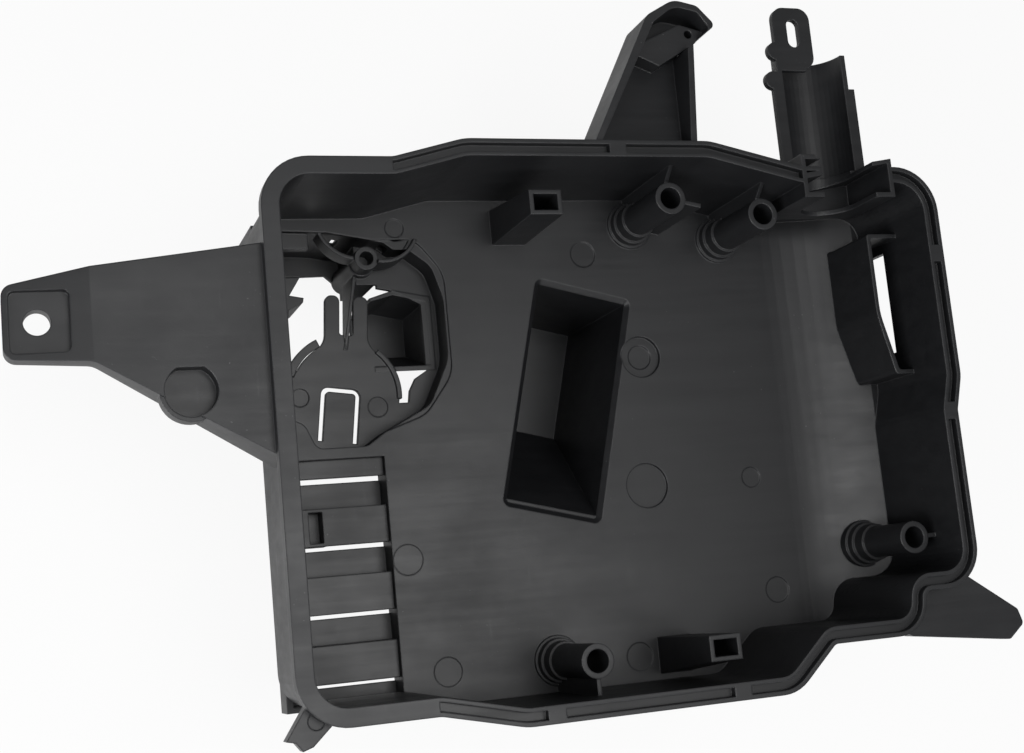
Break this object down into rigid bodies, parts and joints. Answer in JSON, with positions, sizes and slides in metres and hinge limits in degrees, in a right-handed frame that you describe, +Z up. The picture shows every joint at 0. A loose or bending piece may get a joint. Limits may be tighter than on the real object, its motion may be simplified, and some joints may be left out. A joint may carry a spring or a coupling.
{
  "type": "injection moulded plastic housing",
  "caption": "Open moulded plastic tray housing with a rim groove, screw bosses, deep pocket, louvre, cable duct and mounting arms, for a control unit.",
  "frame": {"origin": "axis of the bolt hole in the mounting arm, at the upper face of the arm's pad", "axes": "+X along the tray, away from the mounting arm; +Y across it, towards the cable duct; +Z up, out of the tray's open side"},
  "size_m": [0.3625, 0.2617, 0.1172],
  "materials": {
    "plastic": "satin moulded"
  },
  "bodies": {
    "root": {"housing": "plastic"}
  },
  "joints": []
}
